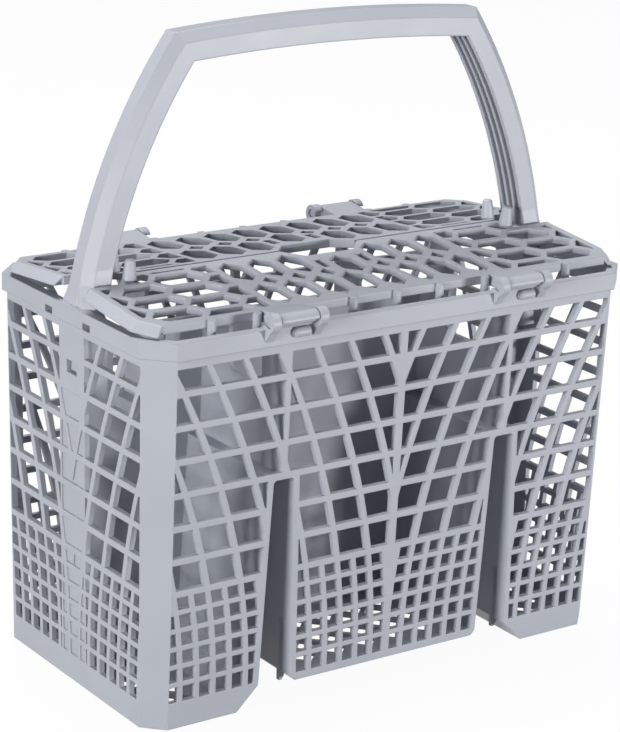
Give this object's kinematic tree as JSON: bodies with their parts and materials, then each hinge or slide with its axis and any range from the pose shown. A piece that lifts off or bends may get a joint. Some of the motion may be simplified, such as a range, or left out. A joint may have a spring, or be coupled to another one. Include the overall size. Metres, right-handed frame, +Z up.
{
  "type": "dishwasher cutlery basket",
  "caption": "Openwork plastic cutlery basket for a dishwasher rack, with tine slots underneath, inner dividers, a snap-in arched carry handle and hinged honeycomb lids.",
  "frame": {"origin": "on the floor plane that the feet stand on, under the middle of the tub", "axes": "+Z up; X runs along the tub between its end walls; -Y is the long side nearest the viewer in the picture"},
  "size_m": [0.216, 0.127, 0.244],
  "materials": {
    "tub_plastic": "light blue-grey polypropylene, fine satin moulding",
    "handle_plastic": "the same plastic, smooth satin",
    "lid_plastic": "the same plastic, fine satin moulding"
  },
  "bodies": {
    "basket": {"basket_tub": "tub_plastic", "carry_handle": "handle_plastic"},
    "front_lid": {"front_lid": "lid_plastic"},
    "rear_lid": {"rear_lid": "lid_plastic"}
  },
  "joints": [
    {"name": "front_lid_hinge", "type": "hinge", "parent": "basket", "child": "front_lid", "pos_m": [0, -0.0599, 0.1488], "axis": [1, 0, 0], "range_deg": [0, 105]},
    {"name": "rear_lid_hinge", "type": "hinge", "parent": "basket", "child": "rear_lid", "pos_m": [0, 0.0599, 0.1488], "axis": [-1, 0, 0], "range_deg": [0, 105]}
  ]
}
